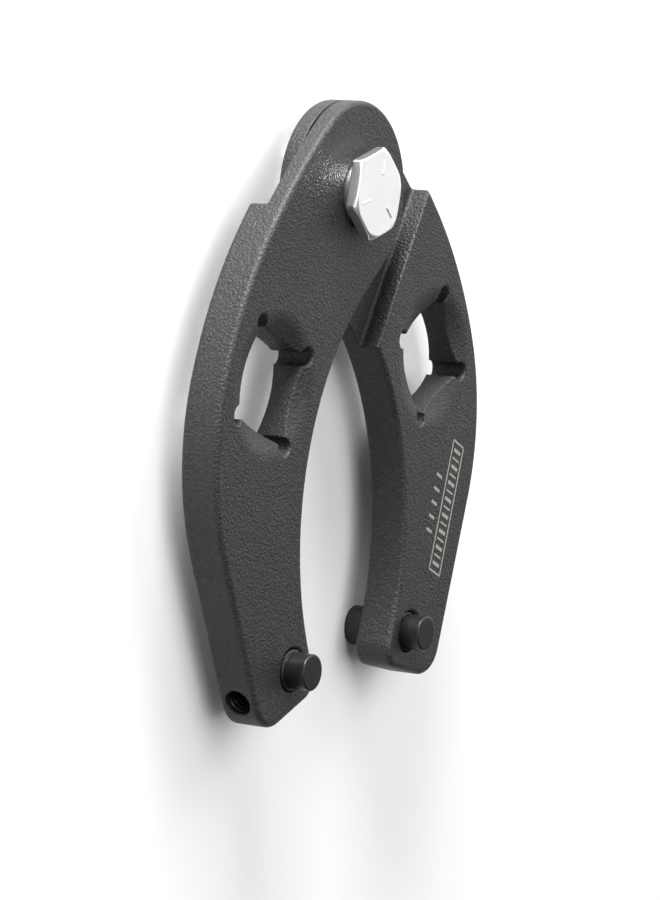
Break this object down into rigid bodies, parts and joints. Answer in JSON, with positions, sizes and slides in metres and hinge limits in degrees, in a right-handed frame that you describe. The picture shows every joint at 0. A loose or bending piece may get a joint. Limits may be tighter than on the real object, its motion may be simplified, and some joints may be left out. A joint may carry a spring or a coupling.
{
  "type": "adjustable pin spanner",
  "caption": "Adjustable pin spanner: curved half-lapped arms on a pivot bolt, with square drive holes and reversible pins held at any depth by set screws.",
  "frame": {"origin": "middle of the footprint in plan, at the lowest point, where the bolt's threaded end and the right-hand pin's back end touch the surface that the tool lies on", "axes": "+Z along the pivot axis out of the bolt head, +Y from the pins to the pivot, +X to the right across the jaws seen from the front"},
  "size_m": [0.075, 0.0876, 0.0131],
  "materials": {
    "black_coat": "black powder coat with a fine even grain, satin",
    "black_oxide": "black oxide on turned steel, smooth, low gloss",
    "zinc_plate": "bright zinc plate with a faint bluish tint"
  },
  "bodies": {
    "left_arm": {"arm_left": "black_coat", "pivot_bolt": "zinc_plate", "lock_nut": "zinc_plate"},
    "right_arm": {"arm_right": "black_coat"},
    "left_pin": {"pin_left": "black_oxide"},
    "right_pin": {"pin_right": "black_oxide"},
    "left_screw": {"set_screw_left": "black_oxide"},
    "right_screw": {"set_screw_right": "black_oxide"}
  },
  "joints": [
    {"name": "arm_pivot", "type": "hinge", "parent": "left_arm", "child": "right_arm", "pos_m": [0, 0.03057, 0.00675], "axis": [0, 0, 1], "range_deg": [-17, 180]},
    {"name": "left_pin_depth", "type": "slide", "parent": "left_arm", "child": "left_pin", "axis": [0, 0, 1], "range_m": [-0.0013, 0.0046]},
    {"name": "right_pin_depth", "type": "slide", "parent": "right_arm", "child": "right_pin", "axis": [0, 0, 1], "range_m": [-0.0009, 0.005]},
    {"name": "left_screw_travel", "type": "slide", "parent": "left_arm", "child": "left_screw", "axis": [-0.9455, -0.3256, 0], "range_m": [0, 0.0027]},
    {"name": "right_screw_travel", "type": "slide", "parent": "right_arm", "child": "right_screw", "axis": [0.9455, -0.3256, 0], "range_m": [0, 0.0027]}
  ]
}
